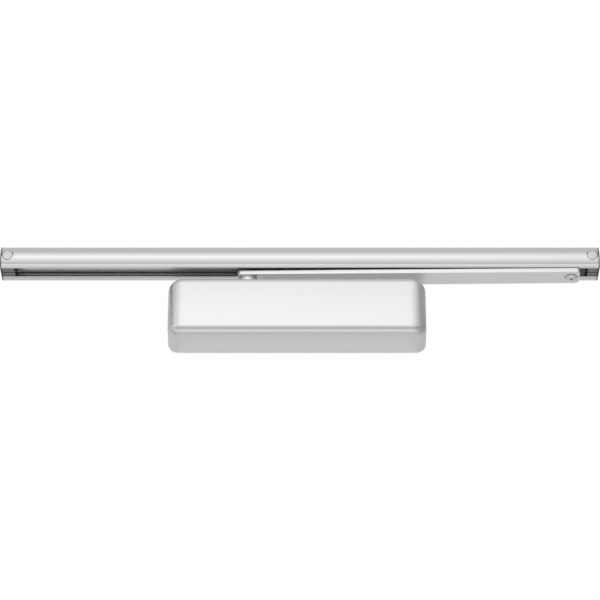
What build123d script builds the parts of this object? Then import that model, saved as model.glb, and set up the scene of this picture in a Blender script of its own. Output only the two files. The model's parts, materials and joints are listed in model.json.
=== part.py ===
"""Surface-mounted door closer: a rack-and-pinion hydraulic body under a snap-on cover,
a single lever arm, and a slide track that the arm's shoe runs in.

Millimetres. X runs along the track, +Z is up and the door's face is the plane Y = 0,
with the closer in front of it at negative Y. The origin is the centre of the closer
body's four mounting holes, on the door's face. "Depth" below means distance in front
of a back face, and "pin" means the pivot between the arm and the track's shoe.
"""

from build123d import *
from math import acos, asin, cos, degrees, pi, radians, sin, sqrt, tan
import os

os.makedirs("parts", exist_ok=True)

# --- driving dimensions ---------------------------------------------------------------
# casting
body_length = 280.0
body_depth = 53.5
body_height = 54.0
casting_radius = 5.0
foot_length = 305.0
foot_height = 50.0
foot_thickness = 8.0
hole_spacing_x = 291.0
hole_spacing_z = 38.0
mounting_hole_radius = 3.3

# cylinder, pinion and rack
bore_radius = 20.5
bore_y = -28.0
pinion_x = -59.5
tooth_module = 1.5
pinion_teeth = 12
pressure_angle = radians(25)
backlash = 0.2
pinion_turn = pi
gear_half_height = 13.0
journal_radius = 8.0
running_gap = 0.05

# cover
cover_length = 311.0
cover_height = 74.0
cover_depth = 57.0
cover_wall = 2.0
cover_corner_radius = 18.0
cover_edge_radius = 8.0
cover_slot_radius = 18.5

# arm
arm_centres = 391.0
arm_skew = 6.5
arm_bottom = 47.6
arm_thickness = 5.9
arm_width_at_pinion = 29.0
arm_width_at_pin = 27.5
arm_past_pinion = 12.0
arm_past_pin = 10.0
arm_end_radius = 4.5

# track
track_length = 724.0
track_centre_x = 3.5
track_back_y = -14.5
track_bottom = 54.9
track_height = 31.5
end_cap_thickness = 1.5
fixing_inset = 8.5
fixing_height = 16.0
slot_near_depth = 9.7
slot_far_depth = 29.9

# --- derived values ---------------------------------------------------------------------
half_body = body_length / 2
pitch_radius = tooth_module * pinion_teeth / 2
base_radius = pitch_radius * cos(pressure_angle)
tip_radius = pitch_radius + tooth_module
root_radius = pitch_radius - 1.25 * tooth_module
tooth_pitch = pi * tooth_module

pin_x = pinion_x + sqrt(arm_centres**2 - arm_skew**2)
pin_y = bore_y - arm_skew
arm_top = arm_bottom + arm_thickness
track_left = track_centre_x - track_length / 2
track_right = track_centre_x + track_length / 2
track_axis_z = track_bottom + fixing_height

pinion_axis = Plane(origin=(pinion_x, bore_y, 0))
pin_axis = Plane(origin=(pin_x, pin_y, 0))


def finish(builder, name):
    """Label a finished piece and write its STEP file."""
    builder.part.label = name
    export_step(builder.part, f"parts/{name}.step")


def across(x):
    """Plane across the cylinder's axis at x: local x is Y, local y is Z, facing +X."""
    return Plane(origin=(x, 0, 0), x_dir=(0, 1, 0), z_dir=(1, 0, 0))


def bore_plane(x):
    """Plane across the cylinder at x, centred on its axis."""
    return Plane(origin=(x, bore_y, 0), x_dir=(0, 1, 0), z_dir=(1, 0, 0))


# --- closer body ------------------------------------------------------------------------
# A cast block bored right through, with round bosses for the pinion above and below and
# a flat foot whose four ears take the mounting screws.
boss_radius = 19.0
boss_half_height = 33.0
cross_bore_radius = 13.0
valve_y = -47.0
valve_z = 21.0
valve_head_radius = 4.0
valve_stem_radius = 3.0
valve_head_depth = 8.0
valve_bore_depth = 28.0
gallery_x = 116.5
gallery_radius = 2.0
gallery_plug_radius = 2.6
gallery_plug_depth = 2.5
clip_screw_radius = 1.5
clip_x = 146.0
# valve name: end of the body that it is in (-1 left, +1 right) and its height
valves = {
    "sweep_valve": (-1, valve_z),
    "latch_valve": (-1, -valve_z),
    "backcheck_valve": (1, valve_z),
}

with BuildPart() as closer_body:
    with BuildSketch(across(-half_body)):
        with Locations((-body_depth / 2, 0)):
            RectangleRounded(body_depth, body_height, casting_radius)
    extrude(amount=body_length)
    with BuildSketch(Plane.XZ):
        RectangleRounded(foot_length, foot_height, 5)
    extrude(amount=foot_thickness)
    with BuildSketch(pinion_axis.offset(-boss_half_height)):
        Circle(boss_radius)
    extrude(amount=2 * boss_half_height)
    # main bore, right through
    with BuildSketch(bore_plane(-half_body)):
        Circle(bore_radius)
    extrude(amount=body_length, mode=Mode.SUBTRACT)
    # cross bore for the pinion and its bearings
    with BuildSketch(pinion_axis.offset(-boss_half_height)):
        Circle(cross_bore_radius)
    extrude(amount=2 * boss_half_height, mode=Mode.SUBTRACT)
    # mounting holes in the four ears
    with BuildSketch(Plane.XZ):
        with GridLocations(hole_spacing_x, hole_spacing_z, 2, 2):
            Circle(mounting_hole_radius)
    extrude(amount=foot_thickness, mode=Mode.SUBTRACT)
    # stepped valve bores, and the drilling that joins each one to the cylinder
    for side, height in valves.values():
        mouth = Plane(origin=(side * half_body, valve_y, height), z_dir=(-side, 0, 0))
        with BuildSketch(mouth):
            Circle(valve_stem_radius)
        extrude(amount=valve_bore_depth, mode=Mode.SUBTRACT)
        with BuildSketch(mouth):
            Circle(valve_head_radius)
        extrude(amount=valve_head_depth, mode=Mode.SUBTRACT)
        up = 1 if height > 0 else -1
        drill = Plane(origin=(side * gallery_x, valve_y, up * body_height / 2), z_dir=(0, 0, -up))
        with BuildSketch(drill):
            Circle(gallery_radius)
        extrude(amount=body_height / 2, mode=Mode.SUBTRACT)
        with BuildSketch(drill):
            Circle(gallery_plug_radius)
        extrude(amount=gallery_plug_depth, mode=Mode.SUBTRACT)
    # blind holes for the cover clips' screws
    with BuildSketch(Plane.XZ.offset(foot_thickness)):
        with Locations((-clip_x, 0), (clip_x, 0)):
            Circle(clip_screw_radius)
    extrude(amount=-6, mode=Mode.SUBTRACT)
finish(closer_body, "closer_body")

with BuildPart() as gallery_plugs:
    for side, height in valves.values():
        up = 1 if height > 0 else -1
        drill = Plane(origin=(side * gallery_x, valve_y, up * body_height / 2), z_dir=(0, 0, -up))
        with BuildSketch(drill.offset(0.3)):
            Circle(gallery_plug_radius)
        extrude(amount=gallery_plug_depth - 0.3)
finish(gallery_plugs, "gallery_plugs")

# --- pinion -------------------------------------------------------------------------------
# Steel shaft with an involute pinion cut in its middle and a square end for the arm.
shaft_bottom = -29.5
shaft_shoulder = 38.5
square_size = 11.0
square_top = 49.0
arm_thread_radius = 4.0
arm_thread_bottom = 32.0


def involute(angle):
    """Involute function: the flank's polar angle where the pressure angle is angle."""
    return tan(angle) - angle


def half_tooth(radius):
    """Half of a pinion tooth's width at a radius, as an angle in degrees."""
    at_pitch = pi / (2 * pinion_teeth) - backlash / (4 * pitch_radius)
    flank = involute(pressure_angle) - involute(acos(min(1, base_radius / radius)))
    return degrees(at_pitch + flank)


def polar(radius, angle):
    """Point at a radius and an angle in degrees."""
    return (radius * cos(radians(angle)), radius * sin(radians(angle)))


flank_radii = [base_radius + (tip_radius - base_radius) * step / 4 for step in range(5)]
inner = root_radius - 0.6

with BuildSketch() as pinion_tooth:
    with BuildLine():
        left_flank = Spline(*[polar(r, half_tooth(r)) for r in flank_radii])
        tip = ThreePointArc(left_flank @ 1, (tip_radius, 0), polar(tip_radius, -half_tooth(tip_radius)))
        right_flank = Spline(*[polar(r, -half_tooth(r)) for r in reversed(flank_radii)])
        Polyline(
            right_flank @ 1,
            polar(inner, -half_tooth(base_radius)),
            polar(inner, half_tooth(base_radius)),
            left_flank @ 0,
        )
    make_face()

with BuildPart() as pinion_shaft:
    with BuildSketch(pinion_axis.offset(-gear_half_height)):
        Circle(root_radius)
        with PolarLocations(0, pinion_teeth, start_angle=-90):
            add(pinion_tooth.sketch)
    extrude(amount=2 * gear_half_height)
    with BuildSketch(pinion_axis.offset(shaft_bottom)):
        Circle(journal_radius)
    extrude(amount=-gear_half_height - shaft_bottom)
    with BuildSketch(pinion_axis.offset(gear_half_height)):
        Circle(journal_radius)
    extrude(amount=shaft_shoulder - gear_half_height)
    with BuildSketch(pinion_axis.offset(shaft_shoulder)):
        RectangleRounded(square_size, square_size, 0.8)
    extrude(amount=square_top - shaft_shoulder)
    with BuildSketch(pinion_axis.offset(square_top)):
        Circle(arm_thread_radius)
    extrude(amount=arm_thread_bottom - square_top, mode=Mode.SUBTRACT)
finish(pinion_shaft, "pinion_shaft")

# --- pinion bearings, seal and glands -----------------------------------------------------
# Drawn-cup needle bearings pressed into the bosses, a lip seal above, a closed cap below.
cup_near = 18.0
cup_far = 27.0
cup_wall_radius = 10.65
cup_lip_radius = 8.7
cup_lip = 0.8
needle_radius = 1.25
needle_count = 20
seal_far = 30.0
gland_far = boss_half_height
gland_flange = 2.5
gland_flange_radius = 16.0
spanner_hole_radius = 1.5
spanner_circle = 13.2
gland_gap = 0.4
lower_cap_flange = 1.5
needle_end_gap = 0.1

for name, sign in (("upper", 1), ("lower", -1)):
    low, high = sorted((sign * cup_near, sign * cup_far))
    with BuildPart() as bearing_cup:
        for ring_low, ring_high, ring_radius in (
            (low, low + cup_lip, cup_lip_radius),
            (low + cup_lip, high - cup_lip, cup_wall_radius),
            (high - cup_lip, high, cup_lip_radius),
        ):
            with BuildSketch(pinion_axis.offset(ring_low)):
                Circle(cross_bore_radius)
                Circle(ring_radius, mode=Mode.SUBTRACT)
            extrude(amount=ring_high - ring_low)
    finish(bearing_cup, f"pinion_bearing_{name}")

    with BuildPart() as needles:
        with BuildSketch(pinion_axis.offset(low + cup_lip + needle_end_gap)):
            with PolarLocations(journal_radius + running_gap + needle_radius, needle_count):
                Circle(needle_radius)
        extrude(amount=high - low - 2 * (cup_lip + needle_end_gap))
    finish(needles, f"bearing_needles_{name}")

with BuildPart() as pinion_seal:
    with BuildSketch(pinion_axis.offset(cup_far)):
        Circle(cross_bore_radius)
        Circle(journal_radius + running_gap, mode=Mode.SUBTRACT)
    extrude(amount=seal_far - cup_far)
finish(pinion_seal, "pinion_seal")

with BuildPart() as pinion_gland_nut:
    with BuildSketch(pinion_axis.offset(seal_far)):
        Circle(cross_bore_radius)
    extrude(amount=gland_far - seal_far)
    with BuildSketch(pinion_axis.offset(gland_far)):
        Circle(gland_flange_radius)
    extrude(amount=gland_flange)
    with BuildSketch(pinion_axis.offset(seal_far)):
        Circle(journal_radius + gland_gap)
    extrude(amount=gland_far + gland_flange - seal_far, mode=Mode.SUBTRACT)
    with BuildSketch(pinion_axis.offset(gland_far + gland_flange)):
        with PolarLocations(spanner_circle, 4):
            Circle(spanner_hole_radius)
    extrude(amount=-gland_flange, mode=Mode.SUBTRACT)
finish(pinion_gland_nut, "pinion_gland_nut")

with BuildPart() as pinion_lower_cap:
    with BuildSketch(pinion_axis.offset(-gland_far)):
        Circle(cross_bore_radius)
    extrude(amount=gland_far - cup_far)
    with BuildSketch(pinion_axis.offset(-gland_far)):
        Circle(gland_flange_radius)
    extrude(amount=-lower_cap_flange)
    with BuildSketch(pinion_axis.offset(-cup_far)):
        Circle(journal_radius + gland_gap)
    extrude(amount=shaft_bottom + cup_far - gland_gap, mode=Mode.SUBTRACT)
    with BuildSketch(pinion_axis.offset(-gland_far - lower_cap_flange)):
        with PolarLocations(spanner_circle, 4):
            Circle(spanner_hole_radius)
    extrude(amount=lower_cap_flange, mode=Mode.SUBTRACT)
finish(pinion_lower_cap, "pinion_lower_cap")

# --- piston -------------------------------------------------------------------------------
# A cylinder with a head at each end and a window between them. The rack is cut on the
# window's front wall, so turning the pinion anticlockwise seen from above moves the
# piston towards +X and squeezes the springs.
piston_left = pinion_x - 54.5
piston_right = pinion_x + 28.5
window_left = pinion_x - 42.5
window_right = pinion_x + 13.5
window_back = 11.5
rack_half_height = 12.6
spigot_radius = 8.2
spigot_length = 5.0
check_valve_drop = 13.0
ball_radius = 3.2
chamber_radius = 3.6
retainer_length = 2.0
port_radius = 1.8
ball_chamber = 9.0

rack_tip = bore_y - pitch_radius + tooth_module
rack_root = bore_y - pitch_radius - 1.25 * tooth_module
slope = tan(pressure_angle)
rack_half_at_pitch = tooth_pitch / 4 - backlash / 4
half_tip = rack_half_at_pitch - slope * tooth_module
half_root = rack_half_at_pitch + slope * 1.25 * tooth_module
rack_teeth = [pinion_x + (step + 0.5) * tooth_pitch for step in range(-8, 2)]

with BuildPart() as piston:
    with BuildSketch(bore_plane(piston_left)):
        Circle(bore_radius - running_gap)
    extrude(amount=piston_right - piston_left)
    chamfer(piston.edges().filter_by(GeomType.CIRCLE), 0.8)
    with BuildSketch(bore_plane(piston_right)):
        Circle(spigot_radius)
    extrude(amount=spigot_length)
    with BuildSketch(Plane.XY.offset(-bore_radius)):
        with BuildLine():
            Polyline(
                (window_left, rack_root),
                (window_right, rack_root),
                (window_right, bore_y + window_back),
                (window_left, bore_y + window_back),
                close=True,
            )
        make_face()
    extrude(amount=2 * bore_radius, mode=Mode.SUBTRACT)
    with BuildSketch(Plane.XY.offset(-rack_half_height)):
        for centre in rack_teeth:
            with BuildLine():
                Polyline(
                    (centre - half_root, rack_root - 0.5),
                    (centre - half_root, rack_root),
                    (centre - half_tip, rack_tip),
                    (centre + half_tip, rack_tip),
                    (centre + half_root, rack_root),
                    (centre + half_root, rack_root - 0.5),
                    close=True,
                )
            make_face()
    extrude(amount=2 * rack_half_height)
    # check valve in each head: a port from the outer face and a chamber from the window
    for face, chamber in ((piston_left, window_left), (piston_right, window_right)):
        inwards = 1 if chamber > face else -1
        port = Plane(origin=(face, bore_y, check_valve_drop), z_dir=(inwards, 0, 0))
        with BuildSketch(port):
            Circle(port_radius)
        extrude(amount=abs(chamber - face), mode=Mode.SUBTRACT)
        seat = Plane(origin=(chamber, bore_y, check_valve_drop), z_dir=(-inwards, 0, 0))
        with BuildSketch(seat):
            Circle(chamber_radius)
        extrude(amount=ball_chamber, mode=Mode.SUBTRACT)
finish(piston, "piston")

with BuildPart() as check_balls:
    for face, chamber in ((piston_left, window_left), (piston_right, window_right)):
        inwards = 1 if chamber > face else -1
        with Locations((chamber - inwards * (ball_chamber - ball_radius), bore_y, check_valve_drop)):
            Sphere(ball_radius)
finish(check_balls, "check_valve_balls")

with BuildPart() as ball_retainers:
    for face, chamber in ((piston_left, window_left), (piston_right, window_right)):
        inwards = 1 if chamber > face else -1
        seat = Plane(origin=(chamber, bore_y, check_valve_drop), z_dir=(-inwards, 0, 0))
        with BuildSketch(seat):
            Circle(chamber_radius)
            Circle(port_radius, mode=Mode.SUBTRACT)
        extrude(amount=retainer_length)
finish(ball_retainers, "check_valve_retainers")

# --- springs, seat and power screw ----------------------------------------------------------
seat_left = 104.0
seat_thickness = 8.0
seat_radius = 19.4
screw_left = 88.0
screw_radius = 5.0
collar_left = 116.0
collar_radius = 9.0
plug_inner = 122.0
screw_outer = half_body - 1.0
spring_gap = 0.4


# spring name, mean coil radius, wire radius, turns and hand
for name, coil_radius, wire_radius, turns, left_handed in (
    ("outer_spring", 16.6, 2.3, 13, False),
    ("inner_spring", 11.0, 1.6, 17, True),
):
    coil_start = piston_right + wire_radius + spring_gap
    coil_length = seat_left - wire_radius - spring_gap - coil_start
    with BuildPart() as spring:
        with BuildLine() as coil:
            Helix(
                pitch=coil_length / turns,
                height=coil_length,
                radius=coil_radius,
                center=(coil_start, bore_y, 0),
                direction=(1, 0, 0),
                lefthand=left_handed,
            )
        with BuildSketch(Plane(origin=coil.line @ 0, z_dir=coil.line % 0)):
            Circle(wire_radius)
        sweep(path=coil.line, is_frenet=True)
    finish(spring, name)

with BuildPart() as spring_seat:
    with BuildSketch(bore_plane(seat_left)):
        Circle(seat_radius)
    extrude(amount=seat_thickness)
    with BuildSketch(bore_plane(seat_left)):
        Circle(spigot_radius)
    extrude(amount=-spigot_length)
    with BuildSketch(bore_plane(seat_left - spigot_length)):
        Circle(screw_radius + running_gap)
    extrude(amount=seat_thickness + spigot_length, mode=Mode.SUBTRACT)
finish(spring_seat, "spring_seat")

with BuildPart() as power_screw:
    with BuildSketch(bore_plane(screw_left)):
        Circle(screw_radius)
    extrude(amount=screw_outer - screw_left)
    with BuildSketch(bore_plane(collar_left)):
        Circle(collar_radius)
    extrude(amount=plug_inner - 0.1 - collar_left)
    with BuildSketch(bore_plane(screw_outer)):
        RegularPolygon(3.0, 6, major_radius=False)
    extrude(amount=-7, mode=Mode.SUBTRACT)
    chamfer(power_screw.faces().sort_by(Axis.X)[0].edges(), 1.0)
finish(power_screw, "power_adjusting_screw")

# --- end plugs and their o-rings --------------------------------------------------------------
plug_radius = bore_radius - 0.1
plug_thickness = half_body - plug_inner
groove_width = 3.6
groove_radius = 17.2
o_ring_wire = 1.6
o_ring_radius = groove_radius + running_gap + o_ring_wire
plug_spanner_radius = 2.2
plug_spanner_circle = 13.0

for name, side, hole in (
    ("head_end_plug", -1, 0),
    ("spring_end_plug", 1, screw_radius + running_gap),
):
    outer_face = Plane(origin=(side * half_body, bore_y, 0), x_dir=(0, 1, 0), z_dir=(-side, 0, 0))
    with BuildPart() as end_plug:
        with BuildSketch(outer_face):
            Circle(plug_radius)
        extrude(amount=plug_thickness)
        with BuildSketch(outer_face.offset(plug_thickness - 2 - groove_width)):
            Circle(plug_radius)
            Circle(groove_radius, mode=Mode.SUBTRACT)
        extrude(amount=groove_width, mode=Mode.SUBTRACT)
        with BuildSketch(outer_face):
            with PolarLocations(plug_spanner_circle, 2):
                Circle(plug_spanner_radius)
            if hole:
                Circle(hole)
        extrude(amount=7, mode=Mode.SUBTRACT)
        if hole:
            with BuildSketch(outer_face):
                Circle(hole)
            extrude(amount=plug_thickness, mode=Mode.SUBTRACT)
    finish(end_plug, name)

with BuildPart() as plug_o_rings:
    for side in (-1, 1):
        groove_centre = side * (plug_inner + 2 + groove_width / 2)
        with Locations(Location(bore_plane(groove_centre))):
            Torus(o_ring_radius, o_ring_wire)
finish(plug_o_rings, "end_plug_o_rings")

# --- regulating valves --------------------------------------------------------------------------
valve_screw_start = 0.5
valve_cone = 4.0
valve_groove_near = 4.0
valve_groove_width = 1.4
valve_groove_radius = 2.9
valve_ring_wire = 0.5

for name, (side, height) in valves.items():
    mouth = Plane(origin=(side * half_body, valve_y, height), x_dir=(0, 1, 0), z_dir=(-side, 0, 0))
    with BuildPart() as valve_screw:
        with BuildSketch(mouth.offset(valve_screw_start)):
            Circle(valve_head_radius - running_gap)
        extrude(amount=valve_head_depth - 0.5 - valve_screw_start)
        with BuildSketch(mouth.offset(valve_head_depth - 0.5)):
            Circle(valve_stem_radius - running_gap)
        extrude(amount=valve_bore_depth - 8 - valve_head_depth)
        with BuildSketch(mouth.offset(valve_bore_depth - 8.5)):
            Circle(valve_stem_radius - running_gap)
        extrude(amount=valve_cone, taper=25)
        with BuildSketch(mouth.offset(valve_groove_near)):
            Circle(valve_head_radius)
            Circle(valve_groove_radius, mode=Mode.SUBTRACT)
        extrude(amount=valve_groove_width, mode=Mode.SUBTRACT)
        with BuildSketch(mouth.offset(valve_screw_start)):
            Rectangle(10, 1.2)
        extrude(amount=1.8, mode=Mode.SUBTRACT)
    finish(valve_screw, f"{name}_screw")

with BuildPart() as valve_o_rings:
    for side, height in valves.values():
        depth = valve_groove_near + valve_groove_width / 2
        mouth = Plane(origin=(side * half_body, valve_y, height), z_dir=(-side, 0, 0))
        with Locations(Location(mouth.offset(depth))):
            Torus(valve_groove_radius + running_gap + valve_ring_wire, valve_ring_wire)
finish(valve_o_rings, "valve_o_rings")

# --- cover and its clips --------------------------------------------------------------------------
# One-piece shell, open at the back and slotted at the top so that it slides forwards off
# the body past the pinion. Spring clips on the foot hold it by its end walls.
clip_width = 12.0
clip_thickness = 0.8
clip_reach = 16.0
clip_inner_x = 142.0
clip_outer_x = 152.6

with BuildPart() as closer_cover:
    with BuildSketch(Plane.XY.offset(-cover_height / 2)) as plan:
        with Locations((0, -cover_depth / 2)):
            Rectangle(cover_length, cover_depth)
        fillet(plan.vertices().group_by(Axis.Y)[0], cover_corner_radius)
    extrude(amount=cover_height)
    rims = closer_cover.edges().filter_by(lambda e: abs(abs(e.center().Z) - cover_height / 2) < 0.01)
    fillet(rims.filter_by(lambda e: e.center().Y < -1), cover_edge_radius)
    back = closer_cover.faces().sort_by(Axis.Y)[-1]
    offset(amount=-cover_wall, openings=back)
    with BuildSketch(pinion_axis.offset(cover_height / 2 - 2 * cover_wall)):
        Circle(cover_slot_radius)
        with Locations((0, -bore_y / 2 + 1)):
            Rectangle(2 * cover_slot_radius, -bore_y + 2)
    extrude(amount=3 * cover_wall, mode=Mode.SUBTRACT)
finish(closer_cover, "closer_cover")

with BuildPart() as cover_clips:
    for side in (-1, 1):
        with BuildSketch(Plane.XY.offset(-clip_width / 2)):
            with BuildLine():
                Polyline(
                    (side * clip_inner_x, -foot_thickness),
                    (side * clip_outer_x, -foot_thickness),
                    (side * clip_outer_x, -foot_thickness - clip_reach),
                    (side * (clip_outer_x - 3), -foot_thickness - clip_reach - 4),
                    (side * (clip_outer_x - 3 - clip_thickness), -foot_thickness - clip_reach - 3.6),
                    (side * (clip_outer_x - clip_thickness), -foot_thickness - clip_reach),
                    (side * (clip_outer_x - clip_thickness), -foot_thickness - clip_thickness),
                    (side * clip_inner_x, -foot_thickness - clip_thickness),
                    close=True,
                )
            make_face()
        extrude(amount=clip_width)
    with BuildSketch(Plane.XZ.offset(foot_thickness)):
        with Locations((-clip_x, 0), (clip_x, 0)):
            Circle(clip_screw_radius + 0.1)
    extrude(amount=2, mode=Mode.SUBTRACT)
finish(cover_clips, "cover_clips")

with BuildPart() as clip_screws:
    with BuildSketch(Plane.XZ.offset(foot_thickness - 5.5)):
        with Locations((-clip_x, 0), (clip_x, 0)):
            Circle(clip_screw_radius - 0.02)
    extrude(amount=5.5 + clip_thickness)
    with BuildSketch(Plane.XZ.offset(foot_thickness + clip_thickness)):
        with Locations((-clip_x, 0), (clip_x, 0)):
            Circle(2.8)
    extrude(amount=1.8)
    with BuildSketch(Plane.XZ.offset(foot_thickness + clip_thickness + 1.8)):
        with Locations((-clip_x, 0), (clip_x, 0)):
            Rectangle(7, 0.9)
    extrude(amount=-0.9, mode=Mode.SUBTRACT)
finish(clip_screws, "cover_clip_screws")

# --- arm ------------------------------------------------------------------------------------------
# Flat steel bar with a forged hub under its pinion end. A countersunk screw pulls the hub
# onto the pinion's square, flush with the bar's top so that it passes under the track.
hub_radius = 11.5
hub_bottom = 39.6
socket_top = square_top + 0.2
arm_screw_head_radius = 8.0
countersink_depth = arm_top - socket_top
bush_radius = 8.0
pin_radius = 6.0

arm_angle = degrees(asin(-arm_skew / arm_centres))
arm_plane = Plane(
    origin=(pinion_x, bore_y, arm_bottom),
    x_dir=(cos(radians(arm_angle)), sin(radians(arm_angle)), 0),
    z_dir=(0, 0, 1),
)

with BuildPart() as main_arm:
    with BuildSketch(arm_plane) as bar:
        with BuildLine():
            Polyline(
                (-arm_past_pinion, -arm_width_at_pinion / 2),
                (arm_centres + arm_past_pin, -arm_width_at_pin / 2),
                (arm_centres + arm_past_pin, arm_width_at_pin / 2),
                (-arm_past_pinion, arm_width_at_pinion / 2),
                close=True,
            )
        make_face()
        fillet(bar.vertices(), arm_end_radius)
    extrude(amount=arm_thickness)
    chamfer(main_arm.faces().sort_by(Axis.Z)[0].edges(), 0.4)
    chamfer(main_arm.faces().sort_by(Axis.Z)[-1].edges(), 0.4)
    with BuildSketch(pinion_axis.offset(hub_bottom)):
        Circle(hub_radius)
    extrude(amount=arm_bottom + 1 - hub_bottom)
    with BuildSketch(pinion_axis.offset(hub_bottom)):
        RectangleRounded(square_size + 0.1, square_size + 0.1, 0.8)
    extrude(amount=socket_top - hub_bottom, mode=Mode.SUBTRACT)
    with BuildSketch(pinion_axis.offset(socket_top)):
        Circle(arm_thread_radius + 0.3)
    extrude(amount=arm_thickness, mode=Mode.SUBTRACT)
    with BuildSketch(pinion_axis.offset(arm_top)):
        Circle(arm_screw_head_radius + 0.1)
    extrude(amount=-countersink_depth, taper=44, mode=Mode.SUBTRACT)
    with BuildSketch(pin_axis.offset(arm_bottom)):
        Circle(bush_radius)
    extrude(amount=arm_thickness, mode=Mode.SUBTRACT)
finish(main_arm, "main_arm")

with BuildPart() as arm_screw:
    with BuildSketch(pinion_axis.offset(arm_top - 0.1)):
        Circle(arm_screw_head_radius)
    extrude(amount=0.1 - countersink_depth, taper=45)
    with BuildSketch(pinion_axis.offset(socket_top)):
        Circle(arm_thread_radius - running_gap)
    extrude(amount=arm_thread_bottom + 1 - socket_top)
    with BuildSketch(pinion_axis.offset(arm_top - 0.1)):
        RegularPolygon(2.5, 6, major_radius=False)
    extrude(amount=-4, mode=Mode.SUBTRACT)
finish(arm_screw, "arm_screw")

with BuildPart() as pivot_bush:
    with BuildSketch(pin_axis.offset(arm_bottom)):
        Circle(bush_radius)
        Circle(pin_radius + running_gap, mode=Mode.SUBTRACT)
    extrude(amount=arm_thickness)
finish(pivot_bush, "pivot_bush")

# --- shoe and pivot screw --------------------------------------------------------------------------
# The shoe's wide flange runs between the track's lips and ribs. The shoulder screw comes
# up through the arm's bush and is locked by a nut on top of the shoe.
shoe_half_length = 17.0
lip_high = 3.3
rib_low = 7.6
rib_high = 10.2
back_wall = 3.0
front_wall_depth = 31.2
side_gap = 0.35
pivot_head_radius = 7.8
pivot_head_height = 2.4
pivot_head_top = arm_bottom - 0.3
pivot_thread_radius = 4.0
shoe_bottom = track_bottom + 0.5
shoe_top = track_bottom + 14.0
nut_height = 5.0

# cross-section of the shoe in the track: depth limits, then low and high above the track's bottom
shoe_layers = (
    (slot_near_depth + side_gap, slot_far_depth - side_gap, shoe_bottom, track_bottom + lip_high + side_gap),
    (
        back_wall + side_gap,
        front_wall_depth - side_gap,
        track_bottom + lip_high + side_gap,
        track_bottom + rib_low - side_gap,
    ),
    (slot_near_depth + side_gap, slot_far_depth - side_gap, track_bottom + rib_low - side_gap, shoe_top),
)

with BuildPart() as slider_shoe:
    for near, far, low, high in shoe_layers:
        with BuildSketch(Plane.XY.offset(low)):
            with Locations((pin_x, track_back_y - (near + far) / 2)):
                RectangleRounded(2 * shoe_half_length, far - near, 2)
        extrude(amount=high - low)
    with BuildSketch(pin_axis.offset(shoe_bottom)):
        Circle(pivot_thread_radius)
    extrude(amount=shoe_top - shoe_bottom, mode=Mode.SUBTRACT)
finish(slider_shoe, "slider_shoe")

with BuildPart() as pivot_screw:
    with BuildSketch(pin_axis.offset(pivot_head_top)):
        Circle(pivot_head_radius)
    extrude(amount=-pivot_head_height)
    fillet(pivot_screw.faces().sort_by(Axis.Z)[0].edges(), 1.6)
    with BuildSketch(pin_axis.offset(pivot_head_top)):
        Circle(pin_radius)
    extrude(amount=shoe_bottom - pivot_head_top)
    with BuildSketch(pin_axis.offset(shoe_bottom)):
        Circle(pivot_thread_radius - 0.02)
    extrude(amount=shoe_top + nut_height + 1 - shoe_bottom)
finish(pivot_screw, "pivot_screw")

with BuildPart() as pivot_nut:
    with BuildSketch(pin_axis.offset(shoe_top)):
        RegularPolygon(6.5, 6, major_radius=False)
        Circle(pivot_thread_radius, mode=Mode.SUBTRACT)
    extrude(amount=nut_height)
finish(pivot_nut, "pivot_nut")

# --- track -------------------------------------------------------------------------------------------
# Extruded channel, open below. Its front bulges on one arc above a small upright lip.
# Inside, lips and ribs along both walls make the groove that holds the shoe.
bulge_radius = 20.0
bulge_centre_depth = 15.5
bulge_centre_height = 14.3
bulge_end_height = 4.6
lip_depth = 33.4
lip_lean = 1.3
lip_step = 4.0
wall_top = 2.5
arc_top_depth = bulge_centre_depth + sqrt(bulge_radius**2 - (track_height - bulge_centre_height) ** 2)
arc_low_depth = bulge_centre_depth + sqrt(bulge_radius**2 - (bulge_end_height - bulge_centre_height) ** 2)
cavity_top = track_height - wall_top
cavity_corner_depth = 22.5
cavity_corner_height = 21.5
cap_hole_radius = 6.9
screw_hole_radius = 3.3
fixing_points = [
    (track_left + fixing_inset, track_axis_z),
    (track_right - fixing_inset, track_axis_z),
]

# The track's section has local x pointing forwards (depth) and local y pointing down, so
# heights enter with a minus sign.
section_plane = Plane(
    origin=(track_left, track_back_y, track_bottom), x_dir=(0, -1, 0), z_dir=(1, 0, 0)
)


def at(depth, height):
    """Point of the track's section from its depth and its height above the bottom."""
    return (depth, -height)


with BuildSketch() as track_outline:
    with BuildLine():
        front = ThreePointArc(
            at(arc_top_depth, track_height),
            at(bulge_centre_depth + bulge_radius, bulge_centre_height),
            at(arc_low_depth, bulge_end_height),
        )
        Polyline(
            front @ 1,
            at(lip_depth, lip_step),
            at(lip_depth - lip_lean, 0),
            at(0, 0),
            at(0, track_height),
            front @ 0,
        )
    make_face()

with BuildSketch() as track_cavity:
    with BuildLine():
        Polyline(
            at(slot_near_depth, -1),
            at(slot_near_depth, lip_high),
            at(back_wall, lip_high),
            at(back_wall, rib_low),
            at(slot_near_depth, rib_low),
            at(slot_near_depth, rib_high),
            at(back_wall, rib_high),
            at(back_wall, cavity_top),
            at(cavity_corner_depth, cavity_top),
            at(front_wall_depth, cavity_corner_height),
            at(front_wall_depth, rib_high),
            at(slot_far_depth, rib_high),
            at(slot_far_depth, rib_low),
            at(front_wall_depth, rib_low),
            at(front_wall_depth, lip_high),
            at(slot_far_depth, lip_high),
            at(slot_far_depth, -1),
            close=True,
        )
    make_face()

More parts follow.
